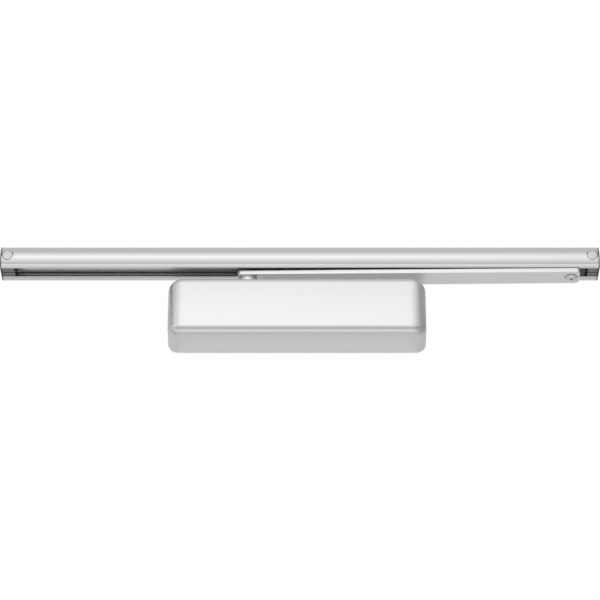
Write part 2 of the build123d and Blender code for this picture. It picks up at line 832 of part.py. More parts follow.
with BuildPart() as track_channel:
    with BuildSketch(section_plane.offset(end_cap_thickness)):
        add(track_outline.sketch)
        add(track_cavity.sketch, mode=Mode.SUBTRACT)
    extrude(amount=track_length - 2 * end_cap_thickness)
    with BuildSketch(Plane.XZ.offset(-track_back_y)):
        with Locations(*fixing_points):
            Circle(screw_hole_radius)
    extrude(amount=back_wall + 1, mode=Mode.SUBTRACT)
    with BuildSketch(Plane.XZ.offset(-track_back_y + front_wall_depth - 2)):
        with Locations(*fixing_points):
            Circle(cap_hole_radius)
    extrude(amount=10, mode=Mode.SUBTRACT)
finish(track_channel, "track_channel")

for name, cap_x in (("left", track_left), ("right", track_right - end_cap_thickness)):
    with BuildPart() as end_cap:
        with BuildSketch(section_plane.offset(cap_x - track_left)):
            add(track_outline.sketch)
        extrude(amount=end_cap_thickness)
    finish(end_cap, f"track_end_cap_{name}")

# Domed caps closing the access holes in front of the track's two fixing screws.
cap_radius = 6.4
cap_crown = 0.6
cap_back_depth = front_wall_depth + 0.2
cap_face_depth = bulge_centre_depth + bulge_radius - 0.1

with BuildPart() as fixing_hole_caps:
    with BuildSketch(Plane.XZ.offset(-track_back_y + cap_back_depth)):
        with Locations(*fixing_points):
            Circle(cap_radius)
    extrude(amount=cap_face_depth - cap_back_depth)
    fillet(fixing_hole_caps.faces().group_by(Axis.Y)[0].edges(), cap_crown)
finish(fixing_hole_caps, "fixing_hole_caps")

# --- end blocks and bumpers -------------------------------------------------------------------
# Moulded blocks that close the channel behind the end caps. The fixing screw passes through
# each one, and a rubber pad on its inner face stops the shoe.
block_length_left = 15.0
block_length_right = 12.1
block_gap = 0.15
block_top = 21.2
block_bottom = 1.2
block_slit_depth = 18.0
block_slit_width = 1.8
block_slit_height = 5.0
block_hole_radius = 3.6
pad_thickness = 1.7
pad_width = 13.0
pad_rise = 12.0
pad_height = 7.4

block_layers = (
    (slot_near_depth + block_gap, slot_far_depth - block_gap, block_bottom, lip_high + block_gap),
    (back_wall + block_gap, front_wall_depth - block_gap, lip_high + block_gap, rib_low - block_gap),
    (slot_near_depth + block_gap, slot_far_depth - block_gap, rib_low - block_gap, rib_high + block_gap),
    (back_wall + block_gap, front_wall_depth - block_gap, rib_high + block_gap, block_top),
)
for name, outer_x, inwards, block_length, fixing_x in (
    ("left", track_left + end_cap_thickness, 1, block_length_left, fixing_points[0][0]),
    ("right", track_right - end_cap_thickness, -1, block_length_right, fixing_points[1][0]),
):
    with BuildPart() as end_block:
        for near, far, low, high in block_layers:
            centre = (outer_x + inwards * block_length / 2, track_back_y - (near + far) / 2)
            with BuildSketch(Plane.XY.offset(track_bottom + low)):
                with Locations(centre):
                    Rectangle(block_length, far - near)
            extrude(amount=high - low)
        with BuildSketch(Plane.XY.offset(track_bottom + block_bottom)):
            with Locations((outer_x + inwards * block_length / 2, track_back_y - block_slit_depth)):
                Rectangle(block_length, block_slit_width)
        extrude(amount=block_slit_height, mode=Mode.SUBTRACT)
        with BuildSketch(Plane.XZ.offset(-track_back_y)):
            with Locations((fixing_x, track_axis_z)):
                Circle(block_hole_radius)
        extrude(amount=front_wall_depth, mode=Mode.SUBTRACT)
    finish(end_block, f"end_block_{name}")

    with BuildPart() as pad:
        with BuildSketch(section_plane.offset(outer_x + inwards * block_length - track_left)):
            with Locations(at((slot_near_depth + slot_far_depth) / 2 + 3, pad_height)):
                RectangleRounded(pad_width, pad_rise, 2)
        extrude(amount=inwards * pad_thickness)
    finish(pad, f"bumper_pad_{name}")
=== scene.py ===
"""Looks of a surface-mounted door closer with a single arm and a slide track, in metres,
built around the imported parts: the shapes that show are remade as smooth surfaces, and
every part gets the finish that it was made with.
"""

import json
from math import asin, cos, pi, radians, sin, sqrt

import bmesh
import bpy
import numpy as np
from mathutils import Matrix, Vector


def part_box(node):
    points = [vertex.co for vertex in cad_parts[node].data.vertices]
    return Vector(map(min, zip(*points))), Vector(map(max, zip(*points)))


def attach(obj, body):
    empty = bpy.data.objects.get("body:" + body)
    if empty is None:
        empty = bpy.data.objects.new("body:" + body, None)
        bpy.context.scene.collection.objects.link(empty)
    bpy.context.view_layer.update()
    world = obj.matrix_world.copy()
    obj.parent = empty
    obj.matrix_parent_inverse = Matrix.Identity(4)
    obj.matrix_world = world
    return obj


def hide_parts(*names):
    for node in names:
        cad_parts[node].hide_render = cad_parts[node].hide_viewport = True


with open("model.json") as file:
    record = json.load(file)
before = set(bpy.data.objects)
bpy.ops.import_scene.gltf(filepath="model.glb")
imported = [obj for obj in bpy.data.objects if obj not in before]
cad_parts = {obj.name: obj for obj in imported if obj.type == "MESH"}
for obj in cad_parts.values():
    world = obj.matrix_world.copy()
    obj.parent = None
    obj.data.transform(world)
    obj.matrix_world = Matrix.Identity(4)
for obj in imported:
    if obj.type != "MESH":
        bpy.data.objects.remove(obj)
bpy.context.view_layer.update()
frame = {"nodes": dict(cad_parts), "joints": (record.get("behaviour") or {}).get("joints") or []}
parts = frame["nodes"]
axes = {joint["name"]: joint.get("pos_m") for joint in frame["joints"]}
MM = 0.001

# ---------------------------------------------------------------------------------------
# Camera. The closer hangs high on a door and is seen from the floor: from straight in
# front, well below it, through a long lens.
camera_drop = radians(29)
camera_distance = 3.2
view_width = 731 * MM
sensor_width = 36.0
aim = (3.6 * MM, 0.0, 35.9 * MM)

lens = bpy.data.cameras.new("camera")
lens.sensor_width = sensor_width
lens.lens = sensor_width * camera_distance / view_width
lens.clip_end = 50
camera = bpy.data.objects.new("camera", lens)
camera.location = (
    aim[0],
    aim[1] - camera_distance * cos(camera_drop),
    aim[2] - camera_distance * sin(camera_drop),
)
camera.rotation_euler = (pi / 2 + camera_drop, 0, 0)
scene = bpy.context.scene
scene.collection.objects.link(camera)
scene.camera = camera

# ---------------------------------------------------------------------------------------
# Studio. White all round as the camera sees it. What the finishes reflect is a room with
# one broad bright wall in front, from eye level to half way up, and greyer surfaces above,
# behind and below. A pale floor lies far below the camera,
# and the finishes do not reflect it.


def to_linear(colour):
    """Linear RGBA of an sRGB hex colour such as "d8d8da"."""
    channels = [int(colour[i : i + 2], 16) / 255 for i in (0, 2, 4)]
    return [c / 12.92 if c <= 0.04045 else ((c + 0.055) / 1.055) ** 2.4 for c in channels] + [1.0]


def add_node(tree, kind, settings=None, links=None):
    """Node of a kind with its settings and links.

    A key of settings is a property of the node, or an input socket by name or number.
    A key of links is an input, and its value is the output that feeds it.
    """
    node = tree.nodes.new(kind)
    for key, value in (settings or {}).items():
        if isinstance(key, str) and hasattr(node, key):
            setattr(node, key, value)
        else:
            node.inputs[key].default_value = value
    for key, output in (links or {}).items():
        tree.links.new(output, node.inputs[key])
    return node


def set_stops(ramp, stops):
    """Give a colour ramp its stops, pairs of place and sRGB hex colour."""
    elements = ramp.color_ramp.elements
    while len(elements) < len(stops):
        elements.new(0.5)
    for element, (place, colour) in zip(elements, stops):
        element.position = place
        element.color = to_linear(colour)


scene.view_settings.view_transform = "Standard"
world = bpy.data.worlds.new("studio")
world.use_nodes = True
scene.world = world
sky = world.node_tree
sky.nodes.clear()
direction = add_node(sky, "ShaderNodeTexCoord")
side = add_node(sky, "ShaderNodeSeparateXYZ", links={0: direction.outputs["Generated"]})
towards_front = add_node(
    sky, "ShaderNodeMath", {"operation": "MULTIPLY", 1: -1.0}, {0: side.outputs["Y"]}
)
# angle above the horizon as seen from the side: 0 in front, 90 overhead, 180 behind
angle = add_node(
    sky,
    "ShaderNodeMath",
    {"operation": "ARCTAN2"},
    {0: side.outputs["Z"], 1: towards_front.outputs[0]},
)
share = add_node(
    sky, "ShaderNodeMapRange", {"From Min": -pi, "From Max": pi}, {"Value": angle.outputs[0]}
)
room_greys = (
    (-180, "cacaca"),
    (-155, "c8c8c8"),
    (-140, "b0b0b0"),
    (-125, "bcbcbc"),
    (-105, "e0e0e0"),
    (-85, "e6e6e6"),
    (-62, "c8c8c8"),
    (-42, "a4a4a4"),
    (-24, "c0c0c0"),
    (-10, "d8d8d8"),
    (2, "eaeaea"),
    (16, "ececec"),
    (32, "ececec"),
    (40, "ececec"),
    (47, "e0e0e0"),
    (58, "cacaca"),
    (70, "bebebe"),
    (100, "c0c0c0"),
    (150, "b8b8b8"),
    (180, "cacaca"),
)
around = add_node(sky, "ShaderNodeValToRGB", links={"Fac": share.outputs["Result"]})
set_stops(around, [((degrees + 180) / 360, grey) for degrees, grey in room_greys])
# the room is darker towards its sides, most of all on the right
across = add_node(sky, "ShaderNodeMapRange", {"From Min": -1.0}, {"Value": side.outputs["X"]})
sides = add_node(sky, "ShaderNodeValToRGB", links={"Fac": across.outputs["Result"]})
side_greys = ((0.0, "eaeaea"), (0.25, "f0f0f0"), (0.5, "ffffff"), (0.7, "f0f0f0"), (0.95, "b4b4b4"))
set_stops(sides, side_greys)
both = add_node(
    sky,
    "ShaderNodeMix",
    {"data_type": "RGBA", "blend_type": "MULTIPLY", 0: 1.0},
    {6: around.outputs["Color"], 7: sides.outputs["Color"]},
)
room_strength = 1.4
room = add_node(sky, "ShaderNodeBackground", {"Strength": room_strength}, {"Color": both.outputs[2]})
white = add_node(sky, "ShaderNodeBackground", {"Color": to_linear("ffffff"), "Strength": 1.0})
ray = add_node(sky, "ShaderNodeLightPath")
seen = add_node(
    sky,
    "ShaderNodeMixShader",
    links={0: ray.outputs["Is Camera Ray"], 1: room.outputs[0], 2: white.outputs[0]},
)
add_node(sky, "ShaderNodeOutputWorld", links={"Surface": seen.outputs[0]})


def area_light(name, place, turn, size, power):
    """Rectangular soft light of a size in metres, facing down until it is turned."""
    light = bpy.data.lights.new(name, "AREA")
    light.shape = "RECTANGLE"
    light.size, light.size_y = size
    light.energy = power
    lamp = bpy.data.objects.new(name, light)
    lamp.location = place
    lamp.rotation_euler = turn
    scene.collection.objects.link(lamp)


area_light("front_softbox", (-0.6, -3.0, 1.2), (radians(68), 0, radians(-11)), (2.4, 1.2), 2.5)


def new_material(name):
    """Material with an empty node tree but for the surface shader, which is returned too."""
    material = bpy.data.materials.new(name)
    material.use_nodes = True
    tree = material.node_tree
    tree.nodes.clear()
    surface = add_node(tree, "ShaderNodeBsdfPrincipled")
    add_node(tree, "ShaderNodeOutputMaterial", links={"Surface": surface.outputs[0]})
    return material, tree, surface


def make_piece(name, points, faces):
    """Mesh object of points and faces, merged where they meet and turned to face outwards."""
    mesh = bpy.data.meshes.new(name)
    mesh.from_pydata(points.reshape(-1, 3).tolist(), [], faces)
    work = bmesh.new()
    work.from_mesh(mesh)
    bmesh.ops.remove_doubles(work, verts=work.verts, dist=1e-7)
    if work.calc_volume(signed=True) < 0:
        bmesh.ops.reverse_faces(work, faces=work.faces)
    work.to_mesh(mesh)
    work.free()
    piece = bpy.data.objects.new(name, mesh)
    scene.collection.objects.link(piece)
    return piece


floor_drop = 3.5
floor_half = 8.0
floor = make_piece(
    "floor",
    floor_half * np.array([(-1, -1, 0), (1, -1, 0), (1, 1, 0), (-1, 1, 0)]) - (0, 0, floor_drop),
    [(0, 1, 2, 3)],
)
paint, tree, surface = new_material("pale_floor_paint")
surface.inputs["Base Color"].default_value = to_linear("ececec")
surface.inputs["Roughness"].default_value = 0.8
floor.data.materials.append(paint)
floor.visible_glossy = False

# ---------------------------------------------------------------------------------------
# Cover. One thin moulding in ABS, open at the back, sprayed silver. Its ends turn on a
# large radius and its long edges on a smaller one, all its walls have draft, and a slot
# in the top lets it slide forwards past the pinion.
cover_low, cover_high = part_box("closer_cover")
half_length = cover_high.x
half_height = cover_high.z
cover_depth = -cover_low.y
corner_radius = 18 * MM
edge_radius = 8 * MM
end_edge_radius = 12.5 * MM
cover_wall = 2 * MM
end_draft = 1.2 * MM
flat_draft = 0.8 * MM
slot_radius = 18.5 * MM
pinion_x, pinion_y = axes["arm_turn"][:2]

quarter = np.linspace(0, pi / 2, 17)[1:-1]
wall_steps = np.linspace(0, cover_depth - corner_radius, 9)
slot_columns = 33
slot_side = 7
front_x = np.concatenate(
    [
        np.linspace(corner_radius - half_length, pinion_x - slot_radius - 8 * MM, 9),
        np.linspace(pinion_x - slot_radius - 4 * MM, pinion_x + slot_radius + 4 * MM, slot_columns),
        np.linspace(pinion_x + slot_radius + 8 * MM, half_length - corner_radius, 17),
    ]
)
turn = np.concatenate(
    [0 * wall_steps, quarter, 0 * front_x + pi / 2, pi / 2 + quarter, 0 * wall_steps + pi]
)
centre_x = np.concatenate(
    [
        0 * wall_steps - half_length + corner_radius,
        0 * quarter - half_length + corner_radius,
        front_x,
        0 * quarter + half_length - corner_radius,
        0 * wall_steps + half_length - corner_radius,
    ]
)
centre_depth = np.concatenate(
    [
        wall_steps,
        0 * quarter + cover_depth - corner_radius,
        0 * front_x + cover_depth - corner_radius,
        0 * quarter + cover_depth - corner_radius,
        wall_steps[::-1],
    ]
)


def grid_faces(rows, columns, closed):
    """Quads joining a grid's neighbours; closed joins the last column to the first."""
    number = np.arange(rows * columns).reshape(rows, columns)
    if closed:
        number = np.hstack([number, number[:, :1]])
    quads = np.stack([number[:-1, :-1], number[:-1, 1:], number[1:, 1:], number[1:, :-1]], axis=-1)
    return quads.reshape(-1, 4).tolist()

def bake(piece, crease=38):
    """Apply a piece's modifiers, then shade it smooth but for edges that turn more than crease."""
    graph = bpy.context.evaluated_depsgraph_get()
    mesh = bpy.data.meshes.new_from_object(piece.evaluated_get(graph))
    mesh.name = piece.name
    piece.modifiers.clear()
    piece.data = mesh
    mesh.shade_smooth()
    mesh.set_sharp_from_angle(angle=radians(crease))
    return piece

def mottle(tree, surface, place, size, contrast, dark, light, rough, detail=3.0):
    """Cloudy variation between two colours and two roughnesses.

    Noise of a feature size in metres; contrast is the width of the noise's middle band
    that is spread over the whole range of colour and roughness.
    """
    noise = add_node(
        tree,
        "ShaderNodeTexNoise",
        {"Scale": 1 / size, "Detail": detail, "Roughness": 0.55},
        {"Vector": place},
    )
    band = {"From Min": 0.5 - contrast / 2, "From Max": 0.5 + contrast / 2}
    spread = add_node(tree, "ShaderNodeMapRange", band, {"Value": noise.outputs["Fac"]})
    colour = add_node(
        tree,
        "ShaderNodeMix",
        {"data_type": "RGBA", 6: to_linear(dark), 7: to_linear(light)},
        {0: spread.outputs["Result"]},
    )
    tree.links.new(colour.outputs[2], surface.inputs["Base Color"])
    gloss = add_node(
        tree,
        "ShaderNodeMapRange",
        {"To Min": rough[0], "To Max": rough[1]},
        {"Value": spread.outputs["Result"]},
    )
    tree.links.new(gloss.outputs["Result"], surface.inputs["Roughness"])
    return noise

def emboss(tree, surface, height, depth):
    """Bump of a depth in metres from a height between 0 and 1."""
    bump = add_node(
        tree, "ShaderNodeBump", {"Strength": 1.0, "Distance": depth}, {"Height": height}
    )
    tree.links.new(bump.outputs["Normal"], surface.inputs["Normal"])

def settle(piece, body, slot, material, *stands_for):
    """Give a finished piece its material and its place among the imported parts."""
    piece.data.materials.clear()
    piece.data.materials.append(material)
    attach(piece, body)
    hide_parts(*stands_for)


def cover_point(x, depth, rise):
    """Point of the moulding from its place before draft; rise is from -1 to 1 of half height.

    Draft narrows the length and the height in proportion to the depth.
    """
    taper = depth / cover_depth
    narrowed = x * (1 - end_draft / half_length * taper)
    return np.stack([narrowed, -depth, rise * (1 - flat_draft / half_height * taper)], axis=-1)


def cover_row(inset, rise):
    """Row of points once round the plan, moved in from it by inset and at a height."""
    radius = corner_radius - inset
    x = centre_x - radius * np.cos(turn)
    depth = centre_depth + radius * np.sin(turn)
    return cover_point(x, depth, rise + 0 * x)


def cover_fill(edge, back_x, back_depth, rise):
    """Two rows that close a flat side, from just inside its rounded edge to the back."""
    back = cover_point(back_x, back_depth, rise + 0 * back_x)
    return [edge + (back - edge) * part for part in (0.02, 1.0)]


columns = len(turn)
before_slot = len(wall_steps) + len(quarter) + 9
after_slot = columns - before_slot - slot_columns
arc = np.linspace(pi, 0, slot_columns - 2 * slot_side)
slot_back_x = np.concatenate(
    [
        np.linspace(end_edge_radius - half_length, pinion_x - slot_radius, before_slot),
        np.full(slot_side, pinion_x - slot_radius),
        pinion_x + slot_radius * np.cos(arc),
        np.full(slot_side, pinion_x + slot_radius),
        np.linspace(pinion_x + slot_radius, half_length - end_edge_radius, after_slot),
    ]
)
leg = np.linspace(0, -pinion_y, slot_side + 2)[1:-1]
slot_back_depth = np.concatenate(
    [
        np.zeros(before_slot),
        leg,
        slot_radius * np.sin(arc) - pinion_y,
        leg[::-1],
        np.zeros(after_slot),
    ]
)
straight_x = np.linspace(end_edge_radius - half_length, half_length - end_edge_radius, columns)
bends = np.linspace(0, pi / 2, 13)
edge = edge_radius + (end_edge_radius - edge_radius) * np.cos(turn) ** 2
upper = [cover_row(edge * (1 - cos(bend)), half_height - edge * (1 - sin(bend))) for bend in bends]
lower = [row * (1, 1, -1) for row in reversed(upper)]
cover_grid = np.array(
    cover_fill(lower[0], straight_x, 0 * straight_x, -half_height)[::-1]
    + lower
    + upper
    + cover_fill(upper[-1], slot_back_x, slot_back_depth, half_height)
)
cover = make_piece("cover_shell", cover_grid, grid_faces(len(cover_grid), columns, False))
shell = cover.modifiers.new("wall", "SOLIDIFY")
shell.thickness = cover_wall
shell.offset = -1
shell.use_even_offset = True
rounding = cover.modifiers.new("rim", "BEVEL")
rounding.width = 0.4 * MM
rounding.segments = 2
rounding.limit_method = "ANGLE"
rounding.angle_limit = radians(50)
bake(cover)

# silver-sprayed ABS: a bright even satin, with fine flake and a trace of orange peel
flake_size = 0.5 * MM
peel_size = 2.5 * MM
silver_spray, tree, surface = new_material("silver_sprayed_abs")
place = add_node(tree, "ShaderNodeTexCoord").outputs["Object"]
mottle(tree, surface, place, flake_size, 0.5, "d5d5d5", "e1e1e1", (0.22, 0.28), 1.0)
surface.inputs["Metallic"].default_value = 0.85
surface.inputs["Coat Weight"].default_value = 0.15
surface.inputs["Coat Roughness"].default_value = 0.2
peel_settings = {"Scale": 1 / peel_size, "Detail": 1.0}
peel = add_node(tree, "ShaderNodeTexNoise", peel_settings, {"Vector": place})
emboss(tree, surface, peel.outputs["Fac"], 0.006 * MM)
settle(cover, "cover", "cover_silver_paint", silver_spray, "closer_cover")

# ---------------------------------------------------------------------------------------
# Track. An aluminium extrusion, open below, clear anodised to a satin silver. Its front
# bulges on one arc over an upright lip, and lips and ribs inside hold the shoe.
track_low, track_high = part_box("track_channel")
track_back = track_high.y
track_bottom = track_low.z
track_height = track_high.z - track_low.z
bulge_radius = 20 * MM
bulge_depth = 15.5 * MM
bulge_height = 14.3 * MM
bulge_end_height = 4.6 * MM
lip_depth = 33.4 * MM
lip_step = 4.0 * MM
lip_lean = 1.3 * MM
near, far = 9.7 * MM, 29.9 * MM
back_wall, front_wall = 3.0 * MM, 31.2 * MM
lip_top, rib_low, rib_top = 3.3 * MM, 7.6 * MM, 10.2 * MM
cavity_top = track_height - 2.5 * MM
die_radius = 0.35 * MM


def rounded(corners, radii, steps=5):
    """Closed outline through corners, each rounded by an arc tangent to both its sides.

    The arc's centre is on the corner's bisector, at radius / sin(half the corner's angle).
    Its points are the two tangent points' arms from the centre, mixed by the sines of the
    part of the turn that each still has to go. A radius of 0 keeps the corner.
    """
    corners = np.asarray(corners, float)
    radii = np.broadcast_to(radii, len(corners))
    arms = [np.roll(corners, shift, axis=0) - corners for shift in (1, -1)]
    before, after = (arm / np.linalg.norm(arm, axis=1, keepdims=True) for arm in arms)
    half = np.arccos(np.clip((before * after).sum(1), -1, 1)) / 2
    bisector = (before + after) / np.maximum(2 * np.cos(half), 1e-9)[:, None]
    centre = corners + bisector * (radii / np.sin(half))[:, None]
    reach = (radii / np.tan(half))[:, None]
    first = corners + before * reach - centre
    last = corners + after * reach - centre
    swing = np.maximum(pi - 2 * half, 1e-6)[:, None]
    part = np.linspace(0, 1, steps)
    weights = [np.sin((1 - part) * swing) / np.sin(swing), np.sin(part * swing) / np.sin(swing)]
    arcs = centre[:, None] + weights[0][..., None] * first[:, None]
    arcs = arcs + weights[1][..., None] * last[:, None]
    outline = arcs.reshape(-1, 2)
    moved = np.linalg.norm(outline - np.roll(outline, 1, axis=0), axis=1) > 1e-6
    return outline[moved]


def inset(outline, distance):
    """Outline moved inwards by a distance, each point along the mitre of its two sides."""
    sides = np.roll(outline, -1, axis=0) - outline
    normals = np.stack([sides[:, 1], -sides[:, 0]], axis=1) / np.linalg.norm(sides, axis=1)[:, None]
    x, y = outline.T
    area = (x * np.roll(y, -1) - y * np.roll(x, -1)).sum()
    normals *= np.sign(area)
    mitre = normals + np.roll(normals, 1, axis=0)
    return outline - distance * mitre / (1 + (normals * np.roll(normals, 1, axis=0)).sum(1))[:, None]


def carried(name, outline, profile, place):
    """Closed solid: an outline carried through a profile of (inset, height) steps.

    place turns the arrays (outline's first and second coordinate, height) into points.
    """
    rows = []
    for distance, height in profile:
        first, second = inset(outline, distance).T
        rows.append(place(first, second, height + 0 * first))
    count = len(outline)
    faces = grid_faces(len(rows), count, True)
    faces.append(list(range(count))[::-1])
    faces.append(list(range((len(rows) - 1) * count, len(rows) * count)))
    return make_piece(name, np.array(rows), faces)


def eased(low, high, low_radius, high_radius, steps=4):
    """Profile of a slab from low to high whose edges are quarter rounds.

    On a quarter round of radius r the inset is r(1 - cos a) and the height r(1 - sin a)
    short of the face. A last step just inside keeps the flat face's shading flat.
    """
    angles = np.linspace(0, pi / 2, steps)
    lower = [(low_radius * (1 - cos(a)), low + low_radius * (1 - sin(a))) for a in angles[::-1]]
    upper = [(high_radius * (1 - cos(a)), high - high_radius * (1 - sin(a))) for a in angles]
    return [(low_radius + 0.2 * MM, low)] + lower + upper + [(high_radius + 0.2 * MM, high)]


def along_track(depth, height, x):
    """Point of the track from its depth, its height above the bottom and its x."""
    return np.stack([x, track_back - depth, track_bottom + height], axis=-1)


def upright(x, y, z):
    """Point of a piece whose outline lies flat."""
    return np.stack([x, y, z], axis=-1)


def facing(x, z, depth):
    """Point of a piece whose outline faces the front; depth is in front of the track's back."""
    return np.stack([x, track_back - depth, z], axis=-1)


def circle(radius, centre=(0, 0), count=48):
    """Round outline."""
    angles = np.arange(count) * 2 * pi / count
    return np.stack([centre[0] + radius * np.cos(angles), centre[1] + radius * np.sin(angles)], axis=1)


def carved(piece, joined=(), cut=()):
    """Piece with some solids joined to it and others cut from it; they are used up."""
    for operation, tools in (("UNION", joined), ("DIFFERENCE", cut)):
        for tool in tools:
            step = piece.modifiers.new("carve", "BOOLEAN")
            step.operation = operation
            step.object = tool
    bake(piece)
    for tool in (*joined, *cut):
        bpy.data.objects.remove(tool)
    return piece


bulge_from = asin((track_height - bulge_height) / bulge_radius)
bulge_to = asin((bulge_end_height - bulge_height) / bulge_radius)
bulge_turn = np.linspace(bulge_from, bulge_to, 33)
bulge = np.stack(
    [bulge_depth + bulge_radius * np.cos(bulge_turn), bulge_height + bulge_radius * np.sin(bulge_turn)],
    axis=1,
)
front_outline = [*bulge, (lip_depth, lip_step), (lip_depth - lip_lean, 0)]
front_radii = [die_radius] + [0] * (len(bulge) - 1) + [0.2 * MM, 2 * die_radius]
cavity = [
    (far, 0),
    (far, lip_top),
    (front_wall, lip_top),
    (front_wall, rib_low),
    (far, rib_low),
    (far, rib_top),
    (front_wall, rib_top),
    (front_wall, 21.5 * MM),
    (22.5 * MM, cavity_top),
    (back_wall, cavity_top),
    (back_wall, rib_top),
    (near, rib_top),
    (near, rib_low),
    (back_wall, rib_low),
    (back_wall, lip_top),
    (near, lip_top),
    (near, 0),
]
back_edge = [(0, 0), (0, track_height)]
section = rounded(
    front_outline + cavity + back_edge,
    front_radii + [die_radius] * len(cavity) + [die_radius] * 2,
)
fixing_z = sum(corner.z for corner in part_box("fixing_hole_caps")) / 2
cap_radius = 6.4 * MM
cap_low, cap_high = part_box("fixing_hole_caps")
fixing_x = (cap_low.x + cap_radius, cap_high.x - cap_radius)
track = carried("track_extrusion", section, [(0, track_low.x), (0, track_high.x)], along_track)
access_radius = 6.9 * MM
holes = [
    carried("hole", circle(radius, (x, fixing_z)), [(0, start), (0, end)], facing)
    for x in fixing_x
    for radius, start, end in ((3.3 * MM, -1 * MM, 5 * MM), (access_radius, 28 * MM, 40 * MM))
]
carved(track, cut=holes)

# satin clear-anodised aluminium: silver-grey metal with soft reflections, and faint
# straight lines from the die along its length
die_line_pitch = 0.6 * MM
die_line_length = 120 * MM
anodised, tree, surface = new_material("satin_clear_anodised_aluminium")
place = add_node(tree, "ShaderNodeTexCoord").outputs["Object"]
stretch = add_node(
    tree,
    "ShaderNodeMapping",
    {"Scale": (die_line_pitch / die_line_length, 1, 1)},
    {"Vector": place},
)
lines = mottle(
    tree, surface, stretch.outputs[0], die_line_pitch, 0.6, "d2d2d2", "dcdcdc", (0.2, 0.28), 2.0
)
surface.inputs["Metallic"].default_value = 1.0
emboss(tree, surface, lines.outputs["Fac"], 0.004 * MM)
settle(track, "track", "track_anodised", anodised, "track_channel")

# ---------------------------------------------------------------------------------------
# End caps. Thin plates moulded in dark grey plastic to the track's outline, with their
# outer edges rounded over, pushed on to the cut ends.
outer_outline = rounded(front_outline + back_edge, front_radii + [die_radius] * 2)
moulded, tree, surface = new_material("dark_grey_moulded_plastic")
place = add_node(tree, "ShaderNodeTexCoord").outputs["Object"]
# fine spark texture: matt dark grey with an even grain
grain = mottle(tree, surface, place, 0.8 * MM, 0.5, "303133", "3b3c3e", (0.5, 0.62), 2.0)
emboss(tree, surface, grain.outputs["Fac"], 0.02 * MM)
for side_name, inner_end in (("left", 0), ("right", 1)):
    plate_low, plate_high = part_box(f"track_end_cap_{side_name}")
    outer_radii = (0.1 * MM, 0.5 * MM) if inner_end else (0.5 * MM, 0.1 * MM)
    plate = carried(
        f"end_plate_{side_name}",
        outer_outline,
        eased(plate_low.x, plate_high.x, *outer_radii),
        along_track,
    )
    bake(plate)
    settle(plate, "track", "cap_plastic", moulded, f"track_end_cap_{side_name}")

# ---------------------------------------------------------------------------------------
# Hole caps. Small round plastic plugs, sprayed silver, that close the holes in front of
# the track's fixing screws. The face is slightly domed and its rim is rounded.
cap_back = track_back - cap_high.y
cap_face = track_back - cap_low.y
rim = 0.8 * MM
dome = 0.45 * MM
profile = [(0.0, cap_back), (0.0, cap_face - rim - dome)]
profile += [
    (rim * (1 - cos(a)), cap_face - dome - rim * (1 - sin(a))) for a in np.linspace(0.2, pi / 2, 6)
]
profile += [
    (cap_radius - r, cap_face - dome * (r / (cap_radius - rim)) ** 2)
    for r in (cap_radius - rim) * np.linspace(1, 0.02, 8)[1:]
]
plugs = [
    carried(f"plug_{x:.2f}", circle(cap_radius, (x, fixing_z)), profile, facing) for x in fixing_x
]
hole_plugs = carved(plugs[0], joined=[plugs[1]])
hole_plugs.name = "hole_plugs"

# silver-grey moulded plastic: duller and a little darker than the sprayed cover
cap_grey, tree, surface = new_material("silver_grey_moulded_plastic")
place = add_node(tree, "ShaderNodeTexCoord").outputs["Object"]
swirl = mottle(tree, surface, place, 2 * MM, 0.5, "c8c8c8", "d2d2d2", (0.3, 0.38), 2.0)
surface.inputs["Metallic"].default_value = 0.75
emboss(tree, surface, swirl.outputs["Fac"], 0.004 * MM)
settle(hole_plugs, "track", "hole_cap_silver", cap_grey, "fixing_hole_caps")

# ---------------------------------------------------------------------------------------
# Arm. A flat steel bar with a forged hub under its pinion end, its edges broken, sprayed
# silver. The hub has a square socket for the pinion, and the far end is bored for a bush.
arm_low, arm_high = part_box("main_arm")
pin_x, pin_y = axes["shoe_pivot"][:2]
arm_centres = sqrt((pin_x - pinion_x) ** 2 + (pin_y - pinion_y) ** 2)
arm_lean = asin((pin_y - pinion_y) / arm_centres)
arm_thickness = 5.9 * MM
arm_bottom = arm_high.z - arm_thickness
pinion_end, pin_end = 12 * MM, arm_centres + 10 * MM
width_at_pinion, width_at_pin = 29 * MM, 27.5 * MM
bar = rounded(
    [
        (-pinion_end, -width_at_pinion / 2),
        (pin_end, -width_at_pin / 2),
        (pin_end, width_at_pin / 2),
        (-pinion_end, width_at_pinion / 2),
    ],
    4.5 * MM,
    9,
)


def on_arm(along, across, z):
    """Point of the arm from its place along and across it, seen from above."""
    x = pinion_x + along * cos(arm_lean) - across * sin(arm_lean)
    y = pinion_y + along * sin(arm_lean) + across * cos(arm_lean)
    return np.stack([x, y, z], axis=-1)


arm = carried("lever_arm", bar, eased(arm_bottom, arm_high.z, 0.7 * MM, 0.7 * MM, 5), on_arm)
hub_radius = 11.5 * MM
hub_profile = eased(arm_low.z, arm_bottom + 1 * MM, 1.0 * MM, 0.0, 5)[:-1]
hub = carried("hub", circle(hub_radius, count=72), hub_profile, on_arm)
socket_half = 5.55 * MM
socket_top = 49.2 * MM
screw_head = 8.3 * MM
square = [(-1, -1), (1, -1), (1, 1), (-1, 1)]
sockets = [
    carried(
        "socket",
        rounded(socket_half * np.array(square), 0.8 * MM),
        [(0, arm_low.z - 1 * MM), (0, socket_top)],
        lambda x, y, z: upright(x + pinion_x, y + pinion_y, z),
    ),
    carried(
        "countersink",
        circle(screw_head + 1 * MM, (pinion_x, pinion_y), 72),
        [(5 * MM, socket_top - 0.1 * MM), (1 * MM, arm_high.z), (0, arm_high.z + 1 * MM)],
        upright,
    ),
    carried(
        "bush_bore",
        circle(8 * MM, (pin_x, pin_y), 72),
        [(0, arm_bottom - 1 * MM), (0, arm_high.z + 1 * MM)],
        upright,
    ),
]
